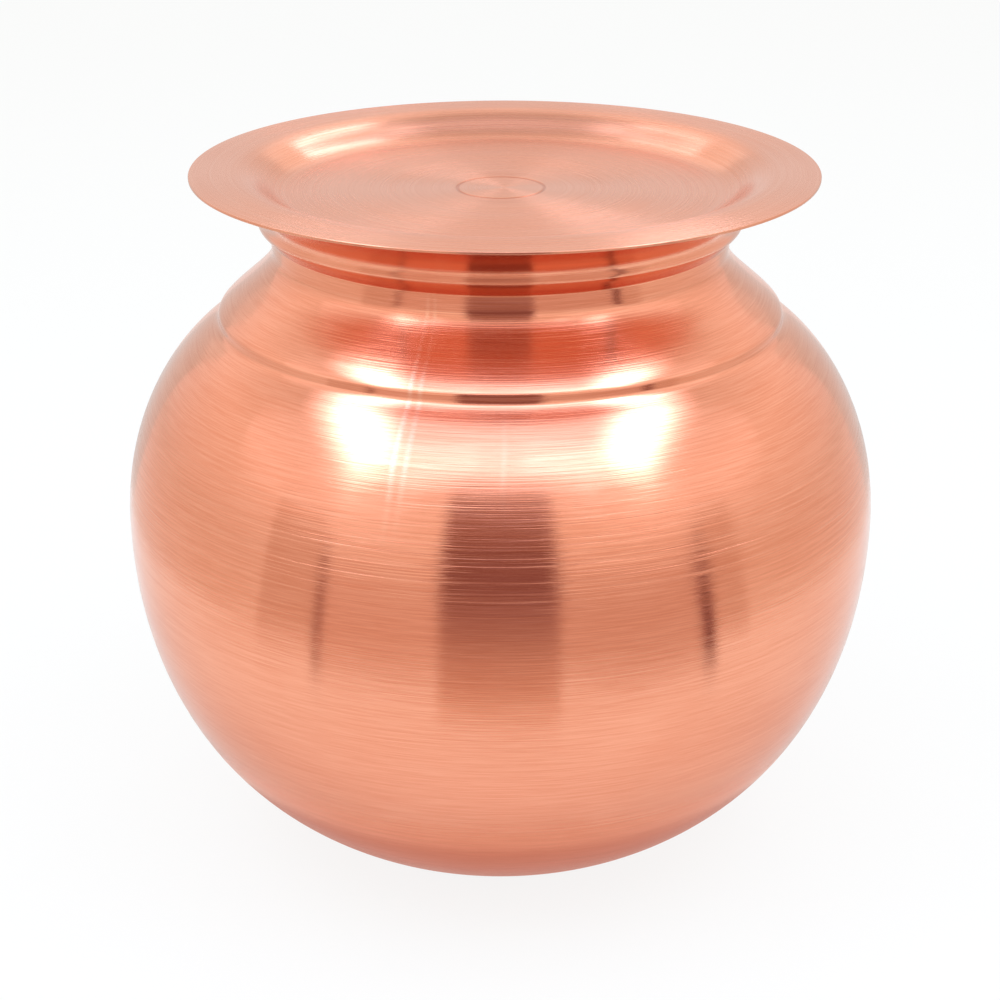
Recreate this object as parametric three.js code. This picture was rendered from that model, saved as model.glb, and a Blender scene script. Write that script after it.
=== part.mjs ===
// A round-bellied water pot spun from copper sheet, with a loose dish-shaped lid in its flared mouth.
// Millimetres, +Z up. The origin is the middle of the flat foot, on the surface that the pot stands on.

import {
  CubicBezierCurve,
  Group,
  LatheGeometry,
  Mesh,
  MeshStandardMaterial,
  QuadraticBezierCurve,
  Vector2,
} from "three";

// The sheet that both pieces are spun from.
const sheet = 0.8;

// Pot, radii of its outer face.
const footRadius = 38;
const footBlend = 8;
const bellyRadius = 110;
const shoulderInset = 28.8;
const neckInset = 15.9;
const collarOverhang = 3.8;
const flareWidth = 15.4;

// Pot, heights of its outer face, each measured from the one before.
const footBlendRise = 2.2;
const bowlRise = 101;
const shoulderRise = 57.1;
const stepFilletRise = 2.9;
const stepWallRise = 1.1;
const stepEdgeRise = 1.95;
const domeRise = 16.35;
const neckRise = 3.8;
const collarRise = 2.9;
const collarEdgeRise = 2.3;
const flareRise = 11.5;

// Pot, widths of its small turns.
const stepFilletWidth = 2.6;
const stepEdgeWidth = 1.3;
const collarEdgeWidth = 0.9;

// Pot, where the handles of its long curves stand, as shares of each curve's own width and rise.
const bowlLowShare = [0.589, 0.132];
const bowlHighShare = [1, 0.473];
const shoulderLowShare = [0, 0.465];
const shoulderHighShare = [0.469, 0.834];
const domeLowShare = [0.267, 0.229];
const domeHighShare = [1, 0.639];
const flareLowShare = [0.01, 0.42];
const flareHighShare = [0.45, 0.805];

// Pot, where the corners of its small turns stand, as shares in the same way.
const footCornerShare = [0.7, 0];
const stepFootCornerShare = [1, 0.62];
const stepEdgeCornerShare = [0, 0.34];
const collarCornerShare = [1, 0.4];

// Lid, a shallow dish with a flat floor and a flat flange.
const lidOverhang = 4.3;
const flangeWidth = 10.8;
const lidWallWidth = 18.5;
const lidDepth = 6.5;
const lidLowShare = [0.52, 0];
const lidHighShare = [0.48, 1];

// How the lid lies: a small gap over the lip, and a little off the pot's axis.
const seatGap = 0.3;
const lidSideways = 1.2;

// Points of an outline that lie closer than this are one point.
const sameSpot = 0.01;

// Facets round each piece, and steps along each stretch of its outline.
const facets = 60;
const longSteps = 8;
const middleSteps = 6;
const shortSteps = 2;

// A mitred corner of the offset line stands out at most by one over this.
const sharpestMitre = 0.5;

const copper = { color: 0xd98f6f, roughness: 0.3, metalness: 1 };

const point = (radius, height) => new Vector2(radius, height);

// A point inside the box between two others, at shares of its width and its rise.
const within = (from, to, [acrossShare, upShare]) =>
  point(from.x + (to.x - from.x) * acrossShare, from.y + (to.y - from.y) * upShare);

// A long curve with two handles.
function sweep(from, to, lowShare, highShare, steps) {
  const low = within(from, to, lowShare);
  const high = within(from, to, highShare);
  return new CubicBezierCurve(from, low, high, to).getPoints(steps);
}

// A short turn round one corner.
function turn(from, to, cornerShare) {
  const corner = within(from, to, cornerShare);
  return new QuadraticBezierCurve(from, corner, to).getPoints(shortSteps);
}

// Joins stretches end to end and drops the points that two of them share.
function chain(...stretches) {
  const line = [];
  for (const next of stretches.flat()) {
    const last = line.at(-1);
    if (!last || last.distanceTo(next) > sameSpot) line.push(next);
  }
  return line;
}

// The way from one point to another, as a unit vector.
const direction = (from, to) => to.clone().sub(from).normalize();

// A direction turned a quarter turn to the left.
const leftOf = (way) => point(-way.y, way.x);

// The same line moved to the left of its run by the sheet's thickness, with mitred corners.
function offset(line, thickness) {
  const last = line.length - 1;
  return line.map((here, i) => {
    const wayIn = direction(line[Math.max(i - 1, 0)], line[Math.max(i, 1)]);
    const wayOut = direction(line[Math.min(i, last - 1)], line[Math.min(i + 1, last)]);
    const side = leftOf(wayIn).add(leftOf(wayOut)).normalize();
    const mitre = Math.max(side.dot(leftOf(wayOut)), sharpestMitre);
    return here.clone().addScaledVector(side, thickness / mitre);
  });
}

// A sheet shell turned about the upright axis: out along one face and back along the other.
function spin(name, face, otherFace) {
  const outline = [...face, ...otherFace.toReversed()];
  const geometry = new LatheGeometry(outline, facets);
  geometry.rotateX(Math.PI / 2);
  const mesh = new Mesh(geometry, new MeshStandardMaterial(copper));
  mesh.name = name;
  return mesh;
}

// The pot's outer face, from the middle of the foot up to the lip.
function potFace() {
  const stepRadius = bellyRadius - shoulderInset;
  const neckRadius = stepRadius - neckInset;
  const collarRadius = neckRadius + collarOverhang;

  const centre = point(0, 0);
  const foot = point(footRadius, 0);
  const bowlFoot = point(footRadius + footBlend, footBlendRise);
  const belly = point(bellyRadius, bowlFoot.y + bowlRise);
  const shoulderTop = point(stepRadius + stepFilletWidth, belly.y + shoulderRise);
  const stepFoot = point(stepRadius, shoulderTop.y + stepFilletRise);
  const stepTop = point(stepRadius, stepFoot.y + stepWallRise);
  const domeFoot = point(stepRadius - stepEdgeWidth, stepTop.y + stepEdgeRise);
  const neckFoot = point(neckRadius, domeFoot.y + domeRise);
  const crease = point(neckRadius, neckFoot.y + neckRise);
  const collarFoot = point(collarRadius - collarEdgeWidth, crease.y + collarRise);
  const collarTop = point(collarRadius, collarFoot.y + collarEdgeRise);
  const lip = point(collarRadius + flareWidth, collarTop.y + flareRise);

  return chain(
    centre,
    turn(foot, bowlFoot, footCornerShare),
    sweep(bowlFoot, belly, bowlLowShare, bowlHighShare, longSteps),
    sweep(belly, shoulderTop, shoulderLowShare, shoulderHighShare, longSteps),
    turn(shoulderTop, stepFoot, stepFootCornerShare),
    turn(stepTop, domeFoot, stepEdgeCornerShare),
    sweep(domeFoot, neckFoot, domeLowShare, domeHighShare, middleSteps),
    crease,
    turn(collarFoot, collarTop, collarCornerShare),
    sweep(collarTop, lip, flareLowShare, flareHighShare, middleSteps),
  );
}

// The lid's lower face, from the middle of its floor out to the rim. Its flange lies at height zero.
function lidFace(rimRadius) {
  const flangeStart = point(rimRadius - flangeWidth, 0);
  const floorEdge = point(flangeStart.x - lidWallWidth, -lidDepth);
  return chain(
    point(0, floorEdge.y),
    sweep(floorEdge, flangeStart, lidLowShare, lidHighShare, middleSteps),
    point(rimRadius, 0),
  );
}

const outside = potFace();
const inside = offset(outside, sheet);
const lip = outside.at(-1);
const potHeight = Math.max(lip.y, inside.at(-1).y);

const lidUnder = lidFace(lip.x + lidOverhang);
const lidUpper = offset(lidUnder, sheet);

const pot = spin("pot_body", outside, inside);
const lid = spin("lid", lidUnder, lidUpper);
lid.position.set(lidSideways, 0, potHeight + seatGap);

const waterPot = new Group();
waterPot.add(pot, lid);

export default waterPot;
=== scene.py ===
import math

import bpy
import numpy as np
from mathutils import Matrix, Vector


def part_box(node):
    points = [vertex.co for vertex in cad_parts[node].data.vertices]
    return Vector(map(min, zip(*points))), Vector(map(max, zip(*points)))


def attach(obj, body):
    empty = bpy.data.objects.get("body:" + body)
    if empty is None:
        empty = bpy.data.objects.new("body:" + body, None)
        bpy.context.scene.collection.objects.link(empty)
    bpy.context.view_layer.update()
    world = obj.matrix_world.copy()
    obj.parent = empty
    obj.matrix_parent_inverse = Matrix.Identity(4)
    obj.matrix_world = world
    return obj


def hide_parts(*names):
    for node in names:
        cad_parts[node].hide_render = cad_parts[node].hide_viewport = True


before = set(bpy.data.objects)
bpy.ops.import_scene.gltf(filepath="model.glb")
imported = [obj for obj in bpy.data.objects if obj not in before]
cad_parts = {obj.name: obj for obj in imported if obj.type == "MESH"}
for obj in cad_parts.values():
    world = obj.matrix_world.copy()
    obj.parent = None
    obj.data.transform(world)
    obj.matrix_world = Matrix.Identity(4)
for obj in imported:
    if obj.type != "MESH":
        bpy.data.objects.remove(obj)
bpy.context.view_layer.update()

MM = 0.001

# The sheet that both pieces are spun from, and how far its edges and creases are rounded.
SHEET = 0.8 * MM
EDGE_ROUND = 0.22 * MM
SOFTNESS = 0.35 * MM

# Pot, radii of its outer face. The belly's is the frame's.
_, pot_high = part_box("pot_body")
BELLY_RADIUS = pot_high.x
FOOT_RADIUS = 38 * MM
FOOT_BLEND = 8 * MM
SHOULDER_INSET = 28.8 * MM
NECK_INSET = 15.9 * MM
COLLAR_OVERHANG = 3.8 * MM
FLARE_WIDTH = 15.4 * MM

# Pot, heights of its outer face, each measured from the one before.
FOOT_BLEND_RISE = 2.2 * MM
BOWL_RISE = 101 * MM
SHOULDER_RISE = 57.1 * MM
STEP_FILLET_RISE = 2.9 * MM
STEP_WALL_RISE = 1.1 * MM
STEP_EDGE_RISE = 1.95 * MM
DOME_RISE = 16.35 * MM
NECK_RISE = 3.8 * MM
COLLAR_RISE = 2.9 * MM
COLLAR_EDGE_RISE = 2.3 * MM
FLARE_RISE = 11.5 * MM

# Pot, widths of its small turns.
STEP_FILLET_WIDTH = 2.6 * MM
STEP_EDGE_WIDTH = 1.3 * MM
COLLAR_EDGE_WIDTH = 0.9 * MM

# Handles and corners of the pot's curves, as shares of each curve's own width and rise.
BOWL_SHARES = ((0.589, 0.132), (1, 0.473))
SHOULDER_SHARES = ((0, 0.465), (0.469, 0.834))
DOME_SHARES = ((0.284, 0.265), (1, 0.68))
FLARE_SHARES = ((0.01, 0.42), (0.45, 0.805))
FOOT_CORNER_SHARE = (0.7, 0)
STEP_FOOT_CORNER_SHARE = (1, 0.62)
STEP_EDGE_CORNER_SHARE = (0, 0.34)
COLLAR_CORNER_SHARE = (1, 0.4)

# Lid, a shallow dish. Its radius and its place are the frame's.
lid_low, lid_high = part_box("lid")
LID_RADIUS = (lid_high.x - lid_low.x) / 2
LID_CENTRE = (lid_high.x + lid_low.x) / 2
FLANGE_WIDTH = 10.8 * MM
LID_WALL_WIDTH = 18.5 * MM
LID_DEPTH = 6.5 * MM
LID_SHARES = ((0.52, 0), (0.48, 1))

# The lid's flange bends down by a hair towards its rim.
FLANGE_DROOP = 0.3 * MM
FLANGE_CORNER_SHARE = (0.5, 0)

# The spinner's follower left a round mark in the lid's floor, a little off its middle.
MARK_RADIUS = 12.35 * MM
MARK_OFFSET = -1.1 * MM
MARK_WIDTH = 0.8 * MM
MARK_DEPTH = 0.14 * MM

# The metal is tarnished in that mark, and faintly in a band round it to the front and the back.
MARK_BAND_RADIUS = 1.3 * MARK_RADIUS
MARK_BAND_WIDTH = 4 * MM
MARK_BAND_STRENGTH = 0.25

# How finely outlines are drawn. A curve is longer than the line between its ends, by these factors at most.
DRAWN_STEP = 0.1 * MM
SWEEP_LENGTH_FACTOR = 1.2
TURN_LENGTH_FACTOR = 1.4
EDGE_POINTS = 5

# How finely the pieces are made: facets round them, and the longest steps up the pot's outer face, along
# the faces that hardly show and along the lid's upper face.
FACETS = 180
LONGEST_STEP = 1.6 * MM
HIDDEN_STEP = 3.2 * MM
LID_STEP = 0.8 * MM
STEPS_PER_RADIAN = 14

# Linear colours of the metal, and a paler copper painted on as a highlight in the chatter columns.
POT_COPPER = (0.905, 0.372, 0.228)
POT_DEEP = (0.815, 0.29, 0.163)
LID_COPPER = (0.806, 0.365, 0.236)
LID_DEEP = (0.762, 0.311, 0.183)
TARNISH = (0.62, 0.2, 0.1)
PAINTED_GLINT = (0.95, 0.62, 0.47)

# Gloss of the metal. It is smoother along the marks than across them.
POT_ROUGHNESS = 0.14
LID_ROUGHNESS = 0.25
ANISOTROPY = 0.94
ANISOTROPY_TURN = 0.25

# Noise that draws each kind of mark: its length round the piece, its width, its detail and its seed.
LONG_MARKS = {
    "grain": (40 * MM, 0.28 * MM, 2, 3.1),
    "lines": (90 * MM, 0.8 * MM, 3, 11.7),
    "bands": (200 * MM, 2.4 * MM, 3, 27.3),
    "scratches": (110 * MM, 0.4 * MM, 2, 57.2),
    "flecks": (10 * MM, 0.35 * MM, 3, 88.6),
}
SHORT_MARKS = {
    "blotches": (60 * MM, 25 * MM, 2, 41.9),
    "pits": (1.6 * MM, 0.35 * MM, 1, 73.4),
}
MARKS_RAGGEDNESS = 0.6

# Scratches and pits are only where their noise lies over the first value, in full from the second on.
THRESHOLDS = {"scratches": (0.58, 0.68), "pits": (0.7, 0.78)}

# How many times as far round the long marks go on each piece.
POT_RUN = 1.2
LID_RUN = 4

# Heights of the marks, in metres.
POT_RELIEF = {"grain": 27e-6, "lines": 50e-6, "bands": 60e-6, "scratches": -11e-6, "pits": -6e-6}
LID_RELIEF = {"grain": 3e-6, "lines": 8.1e-6, "bands": 4.5e-6, "scratches": -2.16e-6, "pits": -0.6e-6}
COARSE_KINDS = ("lines", "bands", "scratches")
FINE_KINDS = ("grain", "pits")

# Strength of the coarse marks up the pot: two heights, and the strength under them and over them.
COARSE_STEPS = (
    (112 * MM, 124 * MM, 0.35, 1.8),
    (129 * MM, 146 * MM, 1, 0.3),
    (145 * MM, 185 * MM, 1, 0.25),
)

# How much each kind of mark deepens the colour, and the sums at which that starts and ends.
STAIN_SHARES = {"blotches": 0.4, "lines": 0.4, "grain": 0.7, "flecks": 1}
STAIN_RANGE = (0.95, 1.55)

# Roughness over that of the piece, at two sums of blotches and grain.
ROUGH_RANGE = (0.7, 1.3)
ROUGH_FACTORS = (0.85, 1.2)

# Columns where the tool chattered: azimuth in degrees from the camera's side, lowest place, highest place
# and strength.
CHATTER_COLUMNS = (
    (-16.6, 140 * MM, 181 * MM, 1),
    (-14.8, 142 * MM, 181 * MM, 0.8),
    (0.5, 144 * MM, 158 * MM, 0.4),
)

# Their half width and their sway, both in radians, and how they end, stand out and take a painted highlight.
# That highlight, paler copper for the light that their slopes catch, goes by the lines that cross them: two
# levels of the lines, and its share at each.
CHATTER_WIDTH = 0.014
CHATTER_SWAY = 0.02
CHATTER_SWAY_LENGTH = 25 * MM
CHATTER_SEEDS_APART = 5.5
CHATTER_FADE = 12 * MM
CHATTER_HEIGHT = 5e-6
CHATTER_PAINTED_GLINT = (0.3, 0.7, 0.1, 0.4)

# The camera, fitted to the photograph.
CAMERA_LENS = 75.66
CAMERA_SENSOR = 36
CAMERA_PLACE = (-0.114 * MM, -585 * MM, 345.7 * MM)
CAMERA_TILT = 67.412

# The floor. To the camera it is mostly plain white, and the rest shows the object's shadow.
FLOOR_HALF = 12
FLOOR_COLOUR = (0.75, 0.77, 0.695)
FLOOR_WHITENESS = 0.87

# Brightness of the walls at heights from level with the pot, 0, to straight up, 1.
WALL_LEVELS = ((0, 0.9), (0.45, 1.1), (0.78, 0.9), (0.9, 0.6), (1, 0.55))

# Colours of the lamps.
LAMP_COLOUR = (0.85, 1, 1.35)
CEILING_COLOUR = (0.87, 1, 1.42)

# The long lamp on the right of the pot, which has a twin on the left: the place that it aims at and the ways
# from there to its back end and its front end. Its layers, which soften its sides, have a width, a length and
# a radiance each.
SOFTBOX_AIM = (0.035, -0.075, 0.155)
SOFTBOX_BACK = (0.465, 0.175, 0.868)
SOFTBOX_FRONT = (0.548, -0.428, 0.719)
SOFTBOX_LAYERS = ((0.4, 0.9, 0.5), (0.33, 0.85, 0.7), (0.26, 0.8, 1.0), (0.17, 0.72, 2.0))
SOFTBOX_LAYER_GAP = 0.01

# A faint glow farther out than each of them, in rounds of falling size: its azimuth, distance and height.
GLOW_PLACE = (66, 1.0, 0.95)
GLOW_AIM = (0, 0, 0.15)
GLOW_SIZES = ((1.5, 1.0), (1.2, 0.8), (0.9, 0.6), (0.6, 0.4))
GLOW_RADIANCE = 0.13

# Lamps overhead: places across, places along, height and radiance.
CEILING_HEIGHT = 0.95
CEILING_PATCH_HEIGHT = 0.93
CEILING = {
    "ceiling": ((-0.55, 0.55), (-0.82, 0.06), CEILING_HEIGHT, 1.1),
    "ceiling_middle": ((-0.1, 0.1), (-0.74, -0.38), CEILING_PATCH_HEIGHT, 0.6),
    "ceiling_left": ((-0.42, -0.1), (-0.66, -0.42), CEILING_PATCH_HEIGHT, 1.2),
    "ceiling_right": ((0.1, 0.42), (-0.66, -0.42), CEILING_PATCH_HEIGHT, 1.2),
}

# Lamps behind the pot, which the lid shows: place and radiance.
REAR_LAMPS = {"rear_left": ((-0.4, 0.76, 1.12), 3.4), "rear_right": ((0.34, 0.83, 1.08), 5.8)}
REAR_LAMP_AIM = (0, 0, 0.2)
REAR_LAMP_SIZE = (0.14, 0.4)

# Linear colours of what the metal sees low down.
DARK = (0.24, 0.13, 0.14)
MURK = (0.3, 0.19, 0.2)
DUSK = (0.38, 0.26, 0.27)
DIM = (0.44, 0.32, 0.31)
DIM_FLOOR = (0.5, 0.38, 0.36)
HALF = (0.68, 0.55, 0.51)
WARM = (0.94, 0.86, 0.81)
SOFT = (0.8, 0.7, 0.67)
SOFTER = (0.75, 0.65, 0.62)
GREY = (0.77, 0.69, 0.65)
SLATE = (0.76, 0.81, 0.81)
PALE_SLATE = (0.88, 0.92, 0.92)
REAR_LOW = (0.9, 0.89, 0.88)
REAR_HIGH = (1.25, 1.24, 1.22)

# Rings of the floor that only reflections show: inner radius, outer radius and colour.
# The near rings are painted shade: the floor darkened in the pot's shadow and tinted by the copper's bounce
# light.
FAR_FLOOR = (0.34, 4, (0.9, 0.88, 0.86))
NEAR_FLOOR_PAINTED_SHADE = ((0.05, 0.085, (0.66, 0.45, 0.41)), (0.085, 0.1, (0.86, 0.72, 0.68)))
RING_STEP = 5
RING_HEIGHT = 0.5 * MM

# What the metal sees between two azimuths, measured about a place a little in front of the pot's axis.
# Its run goes out along the floor and then up: a distance and a height at each stop, and the colour from
# there on. The last value is the height of its top.
STRIP_CENTRE = Vector((0, -0.03, 0))
RAISED = 1 * MM
FRONT_DISTANCE = 0.6
SIDE_DISTANCE = 0.9
REAR_DISTANCE = 1.5
FRONT_RUN = (
    (0.185, RAISED, WARM),
    (0.215, RAISED, HALF),
    (0.32, RAISED, DIM_FLOOR),
    (FRONT_DISTANCE, RAISED, DUSK),
    (FRONT_DISTANCE, 0.08, MURK),
    (FRONT_DISTANCE, 0.15, DARK),
    (FRONT_DISTANCE, 0.3, DUSK),
)
GREY_RUN = ((0.3, RAISED, GREY), (SIDE_DISTANCE, RAISED, GREY))
REAR_EDGE_RUN = ((0.4, RAISED, SLATE), (SIDE_DISTANCE, RAISED, SLATE), (SIDE_DISTANCE, 0.34, PALE_SLATE))
STRIPS = {
    "rear_wall": ((148, 212), ((REAR_DISTANCE, RAISED, REAR_LOW), (REAR_DISTANCE, 0.75, REAR_HIGH)), 1.6),
    "dark_front": ((-16.6, 16), FRONT_RUN, 0.6),
    "dim_left": ((-49, -16), ((0.25, RAISED, SOFT), (SIDE_DISTANCE, RAISED, SOFT)), 0.2),
    "dim_right": ((16, 56), ((0.25, RAISED, SOFTER), (SIDE_DISTANCE, RAISED, SOFTER)), 0.2),
    "edge_left": ((-52, -49), ((0.24, RAISED, DIM), (SIDE_DISTANCE, RAISED, DIM)), 0.25),
    "edge_right": ((56, 60), ((0.24, RAISED, DARK), (SIDE_DISTANCE, RAISED, DARK)), 0.25),
    "grey_left": ((-69.5, -52), GREY_RUN, 0.4),
    "grey_right": ((60, 71), GREY_RUN, 0.4),
    "rear_edge_left": ((-158, -137), REAR_EDGE_RUN, 0.5),
    "rear_edge_right": ((137, 158), REAR_EDGE_RUN, 0.5),
}


def share_point(start, end, share):
    """A point inside the box between two others, at shares of its width and its rise."""
    return start + (end - start) * np.array(share)


def straight(start, end):
    """Points along a straight line, without its end."""
    count = max(2, math.ceil(np.linalg.norm(end - start) / DRAWN_STEP))
    t = np.linspace(0, 1, count, endpoint=False)[:, None]
    return start + (end - start) * t


def sweep(start, end, shares):
    """Points along a long curve with two handles, without its end."""
    low, high = (share_point(start, end, share) for share in shares)
    count = math.ceil(SWEEP_LENGTH_FACTOR * np.linalg.norm(end - start) / DRAWN_STEP)
    t = np.linspace(0, 1, count, endpoint=False)[:, None]
    return (
        start * (1 - t) ** 3
        + low * 3 * (1 - t) ** 2 * t
        + high * 3 * (1 - t) * t**2
        + end * t**3
    )


def turn(start, end, corner_share):
    """Points along a short turn round one corner, without its end."""
    corner = share_point(start, end, corner_share)
    count = math.ceil(TURN_LENGTH_FACTOR * np.linalg.norm(end - start) / DRAWN_STEP)
    t = np.linspace(0, 1, count, endpoint=False)[:, None]
    return start * (1 - t) ** 2 + corner * 2 * (1 - t) * t + end * t**2


def lengths_along(line):
    """The distance of each point of a line from its start, along the line."""
    steps = np.linalg.norm(np.diff(line, axis=0), axis=1)
    return np.concatenate([[0], np.cumsum(steps)])


def resampled(line, places):
    """The points of a line at the given distances along it."""
    along = lengths_along(line)
    return np.stack([np.interp(places, along, line[:, k]) for k in (0, 1)], axis=1)


def softened(line, reach):
    """The line with its corners rounded by an average over the given reach. Its ends stay."""
    length = lengths_along(line)[-1]
    count = math.ceil(length / DRAWN_STEP)
    even = resampled(line, np.linspace(0, length, count + 1))
    side = math.ceil(3 * reach / DRAWN_STEP)
    weight = np.exp(-0.5 * (np.arange(-side, side + 1) * DRAWN_STEP / reach) ** 2)
    weight /= weight.sum()
    before = 2 * even[0] - even[side:0:-1]
    after = 2 * even[-1] - even[-2 : -side - 2 : -1]
    padded = np.concatenate([before, even, after])
    return np.stack([np.convolve(padded[:, k], weight, mode="valid") for k in (0, 1)], axis=1)


def thinned(line, longest):
    """Fewer points along the same line: close together where it turns, far apart where it runs straight."""
    way = np.diff(line, axis=0)
    angle = np.unwrap(np.arctan2(way[:, 1], way[:, 0]))
    turning = np.abs(np.diff(angle, append=angle[-1]))
    step = np.linalg.norm(way, axis=1)
    work = np.concatenate([[0], np.cumsum(step / longest + turning * STEPS_PER_RADIAN)])
    wanted = np.linspace(0, work[-1], math.ceil(work[-1]) + 1)
    places = np.interp(wanted, work, lengths_along(line))
    return resampled(line, places)


def left_of(line, distance):
    """The line moved to the left of its run by a distance."""
    way = np.gradient(line, axis=0)
    way /= np.linalg.norm(way, axis=1)[:, None]
    return line + distance * np.stack([-way[:, 1], way[:, 0]], axis=1)


def shell(face):
    """The outline of a sheet in three parts: its outer face, its edge, and its inner face run backwards."""
    other = left_of(face, SHEET)
    end = face[-1]
    out = end - face[-2]
    out /= np.linalg.norm(out)
    across = np.array([-out[1], out[0]])
    quarter = np.linspace(0, math.pi / 2, EDGE_POINTS)
    inset = EDGE_ROUND * (1 - np.sin(quarter))
    rise = EDGE_ROUND * (1 - np.cos(quarter))
    low_corner = end - out * inset[:, None] + across * rise[:, None]
    high_corner = low_corner[::-1] + across * (SHEET - 2 * rise[::-1])[:, None]
    keep = lengths_along(face) < lengths_along(face)[-1] - EDGE_ROUND
    return face[keep], np.concatenate([low_corner, high_corner]), other[keep][::-1]


def pot_face():
    """The pot's outer face, from the middle of the foot up to the lip."""
    step_radius = BELLY_RADIUS - SHOULDER_INSET
    neck_radius = step_radius - NECK_INSET
    collar_radius = neck_radius + COLLAR_OVERHANG

    centre = np.array([0, 0])
    foot = np.array([FOOT_RADIUS, 0])
    bowl_foot = foot + [FOOT_BLEND, FOOT_BLEND_RISE]
    belly = np.array([BELLY_RADIUS, bowl_foot[1] + BOWL_RISE])
    shoulder_top = np.array([step_radius + STEP_FILLET_WIDTH, belly[1] + SHOULDER_RISE])
    step_foot = np.array([step_radius, shoulder_top[1] + STEP_FILLET_RISE])
    step_top = step_foot + [0, STEP_WALL_RISE]
    dome_foot = step_top + [-STEP_EDGE_WIDTH, STEP_EDGE_RISE]
    neck_foot = np.array([neck_radius, dome_foot[1] + DOME_RISE])
    crease = neck_foot + [0, NECK_RISE]
    collar_foot = np.array([collar_radius - COLLAR_EDGE_WIDTH, crease[1] + COLLAR_RISE])
    collar_top = np.array([collar_radius, collar_foot[1] + COLLAR_EDGE_RISE])
    lip = collar_top + [FLARE_WIDTH, FLARE_RISE]

    line = np.concatenate([
        straight(centre, foot),
        turn(foot, bowl_foot, FOOT_CORNER_SHARE),
        sweep(bowl_foot, belly, BOWL_SHARES),
        sweep(belly, shoulder_top, SHOULDER_SHARES),
        turn(shoulder_top, step_foot, STEP_FOOT_CORNER_SHARE),
        straight(step_foot, step_top),
        turn(step_top, dome_foot, STEP_EDGE_CORNER_SHARE),
        sweep(dome_foot, neck_foot, DOME_SHARES),
        straight(neck_foot, crease),
        straight(crease, collar_foot),
        turn(collar_foot, collar_top, COLLAR_CORNER_SHARE),
        sweep(collar_top, lip, FLARE_SHARES),
        [lip],
    ])
    return softened(line, SOFTNESS)


def lid_face():
    """The lid's lower face, from the middle of its floor out to the rim."""
    floor = lid_low.z
    flange_start = np.array([LID_RADIUS - FLANGE_WIDTH, floor + LID_DEPTH])
    floor_edge = np.array([flange_start[0] - LID_WALL_WIDTH, floor])
    rim = np.array([LID_RADIUS, flange_start[1] - FLANGE_DROOP])
    line = np.concatenate([
        straight(np.array([0, floor]), floor_edge),
        sweep(floor_edge, flange_start, LID_SHARES),
        turn(flange_start, rim, FLANGE_CORNER_SHARE),
        [rim],
    ])
    return softened(line, SOFTNESS)


def spun_faces(count):
    """Faces between the rings of points of a turned piece, which close on a pole at each end.

    Each face comes with its corners' places: how many facets round, and which point along the outline.
    """
    first_pole = count * FACETS
    last = first_pole - FACETS
    faces = []
    corners = []
    for j in range(FACETS):
        k = (j + 1) % FACETS
        faces.append((first_pole, k, j))
        corners.append(((j + 0.5, 0), (j + 1, 1), (j, 1)))
        for i in range(count - 1):
            a, b = i * FACETS, (i + 1) * FACETS
            faces.append((a + j, a + k, b + k, b + j))
            corners.append(((j, i + 1), (j + 1, i + 1), (j + 1, i + 2), (j, i + 2)))
        faces.append((first_pole + 1, last + j, last + k))
        corners.append(((j + 0.5, count + 1), (j, count), (j + 1, count)))
    return faces, corners


def lathe(name, outline, centre=0.0):
    """A closed mesh turned about the upright axis from an outline that starts and ends on the axis."""
    along = lengths_along(outline)
    rings = outline[1:-1]
    angle = np.arange(FACETS) * 2 * math.pi / FACETS
    x = rings[:, :1] * np.cos(angle) + centre
    y = rings[:, :1] * np.sin(angle)
    z = rings[:, 1:] + 0 * angle
    body = np.stack([x, y, z], axis=2).reshape(-1, 3)
    poles = [(centre, 0, outline[0, 1]), (centre, 0, outline[-1, 1])]
    faces, corners = spun_faces(len(rings))

    mesh = bpy.data.meshes.new(name)
    mesh.from_pydata(np.concatenate([body, poles]).tolist(), [], faces)
    mesh.shade_smooth()
    uv = mesh.uv_layers.new(name="OFBake")
    flat = np.array([corner for face in corners for corner in face], float)
    flat[:, 0] /= FACETS
    flat[:, 1] = along[flat[:, 1].astype(int)] / along[-1]
    uv.data.foreach_set("uv", flat.ravel())
    run = mesh.attributes.new("along", "FLOAT", "POINT")
    values = np.concatenate([np.repeat(along[1:-1], FACETS), [along[0], along[-1]]])
    run.data.foreach_set("value", values)
    piece = bpy.data.objects.new(name, mesh)
    bpy.context.scene.collection.objects.link(piece)
    return piece


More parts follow.
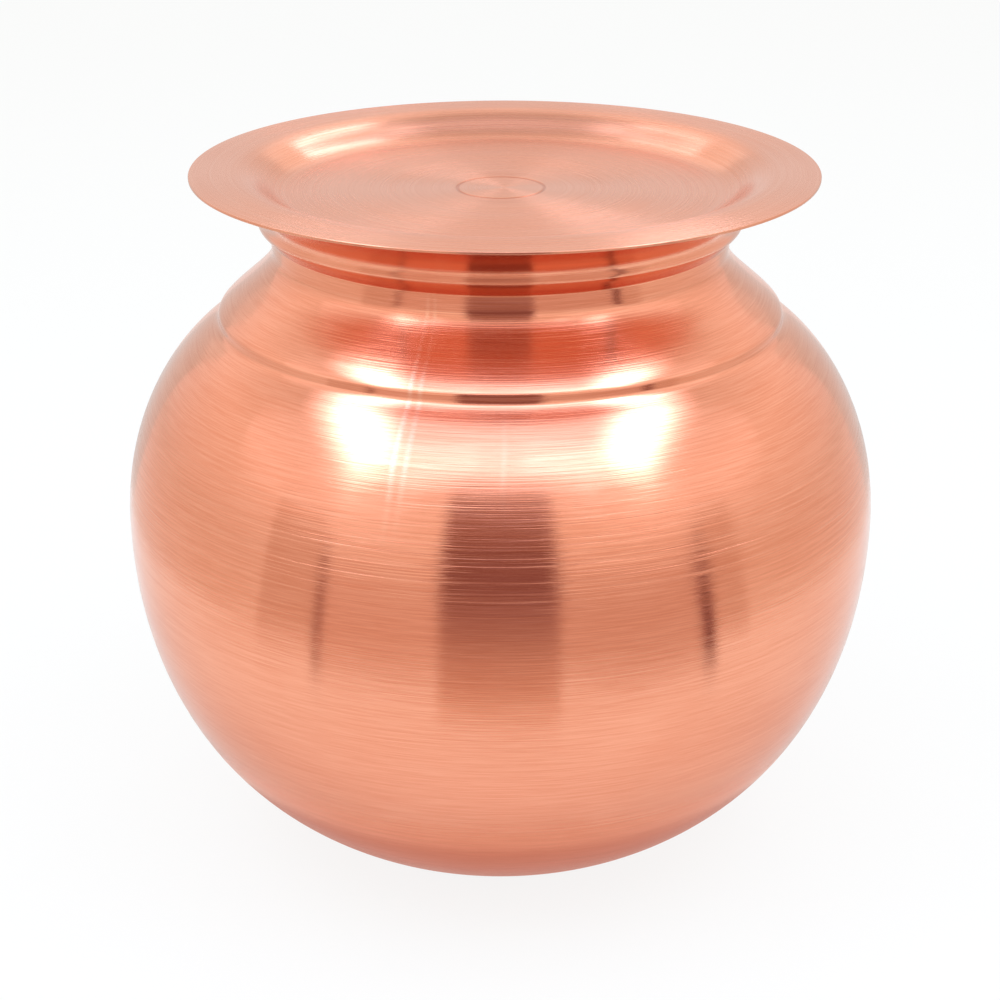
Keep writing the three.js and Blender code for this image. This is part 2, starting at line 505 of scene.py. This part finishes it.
class Finish:
    """A material in the making. Its methods add nodes, and most give back what the last one puts out."""

    def __init__(self, name):
        self.material = bpy.data.materials.new(name)
        self.material.use_nodes = True
        self.tree = self.material.node_tree
        self.shader = self.tree.nodes["Principled BSDF"]
        where = self.node("TexCoord").outputs["Object"]
        self.place = self.node("SeparateXYZ", {0: where}).outputs
        self.along = self.node("Attribute", attribute_name="along").outputs["Fac"]

    def node(self, kind, inputs=None, **settings):
        made = self.tree.nodes.new("ShaderNode" + kind)
        for key, value in settings.items():
            setattr(made, key, value)
        for key, value in (inputs or {}).items():
            self.feed(made.inputs[key], value)
        return made

    def feed(self, socket, value):
        if isinstance(value, bpy.types.NodeSocket):
            self.tree.links.new(value, socket)
        else:
            socket.default_value = value

    def maths(self, operation, *values):
        return self.node("Math", dict(enumerate(values)), operation=operation).outputs[0]

    def total(self, *values):
        result = values[0]
        for value in values[1:]:
            result = self.maths("ADD", result, value)
        return result

    def weighted(self, marks, weights):
        """The sum of marks, each times its own weight."""
        shares = [self.maths("MULTIPLY", marks[kind], weight) for kind, weight in weights.items()]
        return self.total(*shares)

    def away_from(self, value, centre):
        """How far a value lies from a centre, on either side."""
        return self.maths("ABSOLUTE", self.maths("SUBTRACT", value, centre))

    def ramp(self, value, low, high, bottom=0.0, top=1.0):
        """A smooth step from bottom to top as the value goes from low to high."""
        inputs = {"Value": value, "From Min": low, "From Max": high, "To Min": bottom, "To Max": top}
        return self.node("MapRange", inputs, interpolation_type="SMOOTHSTEP").outputs["Result"]

    def noise(self, x, y, z, detail, raggedness=0.5):
        place = self.node("CombineXYZ", {"X": x, "Y": y, "Z": z}).outputs[0]
        inputs = {"Vector": place, "Scale": 1.0, "Detail": detail, "Roughness": raggedness}
        return self.node("TexNoise", inputs).outputs[0]

    def colour_mix(self, share, start, end):
        made = self.node("Mix", data_type="RGBA")
        self.feed(made.inputs["Factor"], share)
        self.feed(made.inputs["A"], start)
        self.feed(made.inputs["B"], end)
        return made.outputs["Result"]


def streaks(finish, mark, run):
    """Noise drawn out round the piece, for one kind of mark."""
    length, width, detail, seed = mark
    x, y = (finish.maths("MULTIPLY", finish.place[k], 1 / (run * length)) for k in "XY")
    z = finish.maths("MULTIPLY_ADD", finish.along, 1 / width, seed)
    return finish.noise(x, y, z, detail, MARKS_RAGGEDNESS)


def lathe_marks(finish, run):
    """The noise of every kind of mark by its name."""
    marks = {kind: streaks(finish, mark, run) for kind, mark in LONG_MARKS.items()}
    for kind, mark in SHORT_MARKS.items():
        marks[kind] = streaks(finish, mark, 1)
    for kind, (start, full) in THRESHOLDS.items():
        marks[kind] = finish.ramp(marks[kind], start, full)
    return marks


def marks_height(finish, marks, relief, steps=()):
    """How high the surface stands. The steps change the strength of the coarse marks up the piece."""
    coarse = finish.weighted(marks, {kind: relief[kind] for kind in COARSE_KINDS})
    for low, high, under, over in steps:
        coarse = finish.maths("MULTIPLY", coarse, finish.ramp(finish.place["Z"], low, high, under, over))
    fine = finish.weighted(marks, {kind: relief[kind] for kind in FINE_KINDS})
    return finish.total(coarse, fine)


def metal_tint(finish, marks, light, deep):
    """The metal's colour, deeper where the marks are strong."""
    stain = finish.weighted(marks, STAIN_SHARES)
    return finish.colour_mix(finish.ramp(stain, *STAIN_RANGE), (*light, 1), (*deep, 1))


def brushed(finish, marks, tint, height, roughness):
    """Joins colour and height up as bare metal with its marks round the piece."""
    uneven = finish.total(marks["blotches"], marks["grain"])
    rough = finish.ramp(uneven, *ROUGH_RANGE, *(roughness * factor for factor in ROUGH_FACTORS))
    bump = finish.node("Bump", {"Height": height, "Strength": 1.0, "Distance": 1.0})
    tangent = finish.node("Tangent", direction_type="RADIAL", axis="Z")
    shader = finish.shader.inputs
    finish.feed(shader["Base Color"], tint)
    finish.feed(shader["Roughness"], rough)
    finish.feed(shader["Normal"], bump.outputs[0])
    finish.feed(shader["Tangent"], tangent.outputs[0])
    shader["Metallic"].default_value = 1
    shader["Anisotropic"].default_value = ANISOTROPY
    shader["Anisotropic Rotation"].default_value = ANISOTROPY_TURN
    return finish.material


def chatter(finish, column, seed):
    """One column where the tool chattered: how strong it is at each place."""
    azimuth, low, high, strength = column
    backwards = finish.maths("MULTIPLY", finish.place["Y"], -1)
    angle = finish.maths("ARCTAN2", finish.place["X"], backwards)
    sway = finish.noise(finish.maths("MULTIPLY", finish.along, 1 / CHATTER_SWAY_LENGTH), seed, 0.0, 1)
    centre = finish.maths("MULTIPLY_ADD", sway, CHATTER_SWAY, math.radians(azimuth) - CHATTER_SWAY / 2)
    ridge = finish.ramp(finish.away_from(angle, centre), 0, CHATTER_WIDTH, strength, 0)
    for edge, fade in ((low, CHATTER_FADE), (high, -CHATTER_FADE)):
        end = finish.ramp(finish.place["Z"], edge - fade, edge + fade)
        ridge = finish.maths("MULTIPLY", ridge, end)
    return ridge


def pot_copper():
    finish = Finish("copper_pot")
    marks = lathe_marks(finish, POT_RUN)
    height = marks_height(finish, marks, POT_RELIEF, COARSE_STEPS)
    tint = metal_tint(finish, marks, POT_COPPER, POT_DEEP)
    for number, column in enumerate(CHATTER_COLUMNS):
        ridge = chatter(finish, column, CHATTER_SEEDS_APART * number)
        height = finish.maths("MULTIPLY_ADD", ridge, CHATTER_HEIGHT, height)
        # Painted highlight: the chatter columns are tinted paler copper where their slopes catch the light.
        share = finish.maths("MULTIPLY", ridge, finish.ramp(marks["lines"], *CHATTER_PAINTED_GLINT))
        tint = finish.colour_mix(share, tint, (*PAINTED_GLINT, 1))
    return brushed(finish, marks, tint, height, POT_ROUGHNESS)


def tarnish_in_mark(finish):
    """How dark the metal is in the follower's mark and, more faintly, in front of it and behind it."""
    x = finish.maths("SUBTRACT", finish.place["X"], LID_CENTRE + MARK_OFFSET)
    squares = finish.total(finish.maths("POWER", x, 2), finish.maths("POWER", finish.place["Y"], 2))
    distance = finish.maths("SQRT", squares)
    line = finish.ramp(finish.away_from(distance, MARK_RADIUS), MARK_WIDTH / 4, MARK_WIDTH, 1, 0)
    aside = finish.away_from(distance, MARK_BAND_RADIUS)
    band = finish.ramp(aside, 0, MARK_BAND_WIDTH, MARK_BAND_STRENGTH, 0)
    front_and_back = finish.ramp(finish.maths("ABSOLUTE", x), 0, MARK_RADIUS, 1, 0)
    return finish.maths("MAXIMUM", line, finish.maths("MULTIPLY", band, front_and_back))


def lid_copper():
    finish = Finish("copper_lid")
    marks = lathe_marks(finish, LID_RUN)
    height = marks_height(finish, marks, LID_RELIEF)
    tint = metal_tint(finish, marks, LID_COPPER, LID_DEEP)
    tint = finish.colour_mix(tarnish_in_mark(finish), tint, (*TARNISH, 1))
    return brushed(finish, marks, tint, height, LID_ROUGHNESS)


def spun(name, parts, centre=0.0):
    """A piece turned from the parts of a closed outline, whose two ends are put on the axis."""
    outline = np.concatenate(parts)
    outline[0, 0] = 0
    outline[-1, 0] = 0
    return lathe(name, outline, centre)


def make_pot():
    outer, edge, inner = shell(pot_face())
    pot = spun("spun_pot", [thinned(outer, LONGEST_STEP), edge, thinned(inner, HIDDEN_STEP)])
    pot.data.materials.append(pot_copper())
    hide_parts("pot_body")
    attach(pot, "pot")


def finer_near_mark(line):
    """The line with points close together where the follower's mark runs."""
    reach = MARK_RADIUS + abs(MARK_OFFSET) + 2 * MARK_WIDTH
    start = MARK_RADIUS - abs(MARK_OFFSET) - 2 * MARK_WIDTH
    near = (line[:, 0] > start) & (line[:, 0] < reach)
    radii = np.arange(reach, start, -MARK_WIDTH / 5)
    level = np.stack([radii, np.full(len(radii), line[near][0, 1])], axis=1)
    first = np.argmax(near)
    return np.concatenate([line[:first], level, line[first + near.sum() :]])


def press_mark(lid):
    """Presses the follower's round mark into the lid's floor."""
    floor = lid_low.z + SHEET
    for vertex in lid.data.vertices:
        place = vertex.co
        if abs(place.z - floor) < SHEET / 2:
            distance = math.hypot(place.x - LID_CENTRE - MARK_OFFSET, place.y)
            aside = (distance - MARK_RADIUS) / (MARK_WIDTH / 2)
            place.z -= MARK_DEPTH * math.exp(-aside * aside)


def make_lid():
    under, edge, upper = shell(lid_face())
    parts = [thinned(under, HIDDEN_STEP), edge, finer_near_mark(thinned(upper, LID_STEP))]
    lid = spun("spun_lid", parts, LID_CENTRE)
    press_mark(lid)
    lid.data.materials.append(lid_copper())
    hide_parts("lid")
    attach(lid, "lid")


def make_camera():
    data = bpy.data.cameras.new("camera")
    data.lens = CAMERA_LENS
    data.sensor_width = CAMERA_SENSOR
    camera = bpy.data.objects.new("camera", data)
    camera.location = CAMERA_PLACE
    camera.rotation_euler = (math.radians(CAMERA_TILT), 0, 0)
    bpy.context.scene.collection.objects.link(camera)
    bpy.context.scene.camera = camera


def floor_material():
    """Matt and pale. To the camera it is mostly plain white, and the rest shows the object's shadow."""
    material = bpy.data.materials.new("floor")
    material.use_nodes = True
    nodes = material.node_tree.nodes
    links = material.node_tree.links
    shader = nodes["Principled BSDF"]
    shader.inputs["Base Color"].default_value = (*FLOOR_COLOUR, 1)
    shader.inputs["Roughness"].default_value = 1
    shader.inputs["Specular IOR Level"].default_value = 0
    white = nodes.new("ShaderNodeEmission")
    seen = nodes.new("ShaderNodeLightPath")
    share = nodes.new("ShaderNodeMath")
    share.operation = "MULTIPLY"
    share.inputs[1].default_value = FLOOR_WHITENESS
    mix = nodes.new("ShaderNodeMixShader")
    links.new(seen.outputs["Is Camera Ray"], share.inputs[0])
    links.new(share.outputs[0], mix.inputs[0])
    links.new(shader.outputs[0], mix.inputs[1])
    links.new(white.outputs[0], mix.inputs[2])
    links.new(mix.outputs[0], nodes["Material Output"].inputs["Surface"])
    return material


def make_floor():
    mesh = bpy.data.meshes.new("floor")
    corners = [(x * FLOOR_HALF, y * FLOOR_HALF, 0) for x, y in ((-1, -1), (1, -1), (1, 1), (-1, 1))]
    mesh.from_pydata(corners, [], [(0, 1, 2, 3)])
    mesh.materials.append(floor_material())
    floor = bpy.data.objects.new("floor", mesh)
    bpy.context.scene.collection.objects.link(floor)


def make_world():
    """White to the camera. What the metal sees is brightest half way up the walls."""
    world = bpy.data.worlds.new("studio")
    bpy.context.scene.world = world
    world.use_nodes = True
    nodes = world.node_tree.nodes
    links = world.node_tree.links
    where = nodes.new("ShaderNodeTexCoord")
    split = nodes.new("ShaderNodeSeparateXYZ")
    level = nodes.new("ShaderNodeValToRGB")
    stops = level.color_ramp.elements
    for place, value in WALL_LEVELS[1:-1]:
        stops.new(place)
    for stop, (place, value) in zip(stops, WALL_LEVELS):
        stop.position = place
        stop.color = (value, value, value, 1)
    walls = nodes["Background"]
    white = nodes.new("ShaderNodeBackground")
    white.inputs["Color"].default_value = (1, 1, 1, 1)
    path = nodes.new("ShaderNodeLightPath")
    mix = nodes.new("ShaderNodeMixShader")
    links.new(where.outputs["Generated"], split.inputs[0])
    links.new(split.outputs["Z"], level.inputs[0])
    links.new(level.outputs[0], walls.inputs["Color"])
    links.new(path.outputs["Is Camera Ray"], mix.inputs[0])
    links.new(walls.outputs[0], mix.inputs[1])
    links.new(white.outputs[0], mix.inputs[2])
    links.new(mix.outputs[0], nodes["World Output"].inputs["Surface"])


def toward(azimuth, distance, height):
    """A place in the studio. The azimuth is in degrees from the camera's side towards +X."""
    a = math.radians(azimuth)
    return Vector((math.sin(a) * distance, -math.cos(a) * distance, height))


def lamp(name, place, turned, size, radiance, colour):
    """A lamp with a flat even face of the given radiance. It shines down its own -Z."""
    data = bpy.data.lights.new(name, "AREA")
    data.shape = "RECTANGLE"
    data.size, data.size_y = size
    data.energy = radiance * math.pi * data.size * data.size_y
    data.color = colour
    made = bpy.data.objects.new(name, data)
    made.location = place
    made.rotation_mode = "QUATERNION"
    made.rotation_quaternion = turned
    made.visible_camera = False
    bpy.context.scene.collection.objects.link(made)
    return made


def looking_at(place, aim):
    """The turn of a lamp at a place that shines at a point."""
    return (Vector(place) - Vector(aim)).to_track_quat("Z", "Y")


def make_softbox(name, side):
    """One of the two long lamps beside the pot, which dip and splay towards the camera."""
    mirror = Vector((side, 1, 1))
    aim, back, front = (Vector(value) * mirror for value in (SOFTBOX_AIM, SOFTBOX_BACK, SOFTBOX_FRONT))
    out = (back + front).normalized()
    run = (front - back).normalized()
    place = aim + out
    turned = Matrix((run.cross(out), run, out)).transposed().to_quaternion()
    for number, (width, length, radiance) in enumerate(SOFTBOX_LAYERS):
        nearer = out * SOFTBOX_LAYER_GAP * number
        lamp("%s_%d" % (name, number), place - nearer, turned, (width, length), radiance, LAMP_COLOUR)


def make_glow(name, side):
    """A faint round light farther out than a softbox."""
    azimuth, distance, height = GLOW_PLACE
    place = toward(side * azimuth, distance, height)
    turned = looking_at(place, GLOW_AIM)
    for number, size in enumerate(GLOW_SIZES):
        glow = lamp("%s_%d" % (name, number), place, turned, size, GLOW_RADIANCE, LAMP_COLOUR)
        glow.data.shape = "ELLIPSE"


def make_ceiling():
    """The lamps overhead, which shine straight down."""
    for name, (across, along, height, radiance) in CEILING.items():
        place = (sum(across) / 2, sum(along) / 2, height)
        size = (across[1] - across[0], along[1] - along[0])
        lamp(name, place, (1, 0, 0, 0), size, radiance, CEILING_COLOUR)


def make_rear_lamps():
    for name, (place, radiance) in REAR_LAMPS.items():
        lamp(name, place, looking_at(place, REAR_LAMP_AIM), REAR_LAMP_SIZE, radiance, LAMP_COLOUR)


def glowing(name, colour):
    material = bpy.data.materials.new(name)
    material.use_nodes = True
    nodes = material.node_tree.nodes
    nodes.remove(nodes["Principled BSDF"])
    glow = nodes.new("ShaderNodeEmission")
    glow.inputs["Color"].default_value = (*colour, 1)
    material.node_tree.links.new(glow.outputs[0], nodes["Material Output"].inputs["Surface"])
    return material


def reflected(name, corners, faces, colours):
    """Flat faces of plain colours that only reflections show."""
    mesh = bpy.data.meshes.new(name)
    mesh.from_pydata(corners, [], faces)
    board = bpy.data.objects.new(name, mesh)
    bpy.context.scene.collection.objects.link(board)
    palette = list(dict.fromkeys(colours))
    for colour in palette:
        mesh.materials.append(glowing(name, colour))
    for face, colour in zip(mesh.polygons, colours):
        face.material_index = palette.index(colour)
    board.visible_camera = False
    board.visible_diffuse = False
    board.visible_shadow = False
    board.visible_transmission = False


def ring(name, inner, outer, colour):
    """A ring of the floor that only reflections show, in the colour it is given."""
    azimuths = range(0, 360, RING_STEP)
    corners = [toward(a, distance, RING_HEIGHT) for a in azimuths for distance in (inner, outer)]
    count = len(corners)
    faces = [(k, k + 1, (k + 3) % count, (k + 2) % count) for k in range(0, count, 2)]
    reflected(name, corners, faces, [colour] * len(faces))


def strip(name, azimuths, run, top):
    """What the metal sees between two azimuths, out along the floor and up to a top."""
    distances, heights, colours = zip(*run)
    stops = zip((*distances, distances[-1]), (*heights, top))
    corners = [STRIP_CENTRE + toward(a, *stop) for stop in stops for a in azimuths]
    faces = [(k, k + 1, k + 3, k + 2) for k in range(0, 2 * len(run), 2)]
    reflected(name, corners, faces, colours)


def make_studio():
    make_world()
    make_floor()
    for name, side in (("left", -1), ("right", 1)):
        make_softbox("lamp_" + name, side)
        make_glow("glow_" + name, side)
    make_ceiling()
    make_rear_lamps()
    ring("far_floor", *FAR_FLOOR)
    for name, (azimuths, run, top) in STRIPS.items():
        strip(name, azimuths, run, top)
    # Painted shade: the rings round the pot's foot are the floor darkened in its shadow and tinted by copper
    # bounce light.
    for inner, outer, colour in NEAR_FLOOR_PAINTED_SHADE:
        ring("near_floor_painted_shade", inner, outer, colour)


make_pot()
make_lid()
make_camera()
make_studio()
bpy.context.scene.view_settings.view_transform = "Standard"
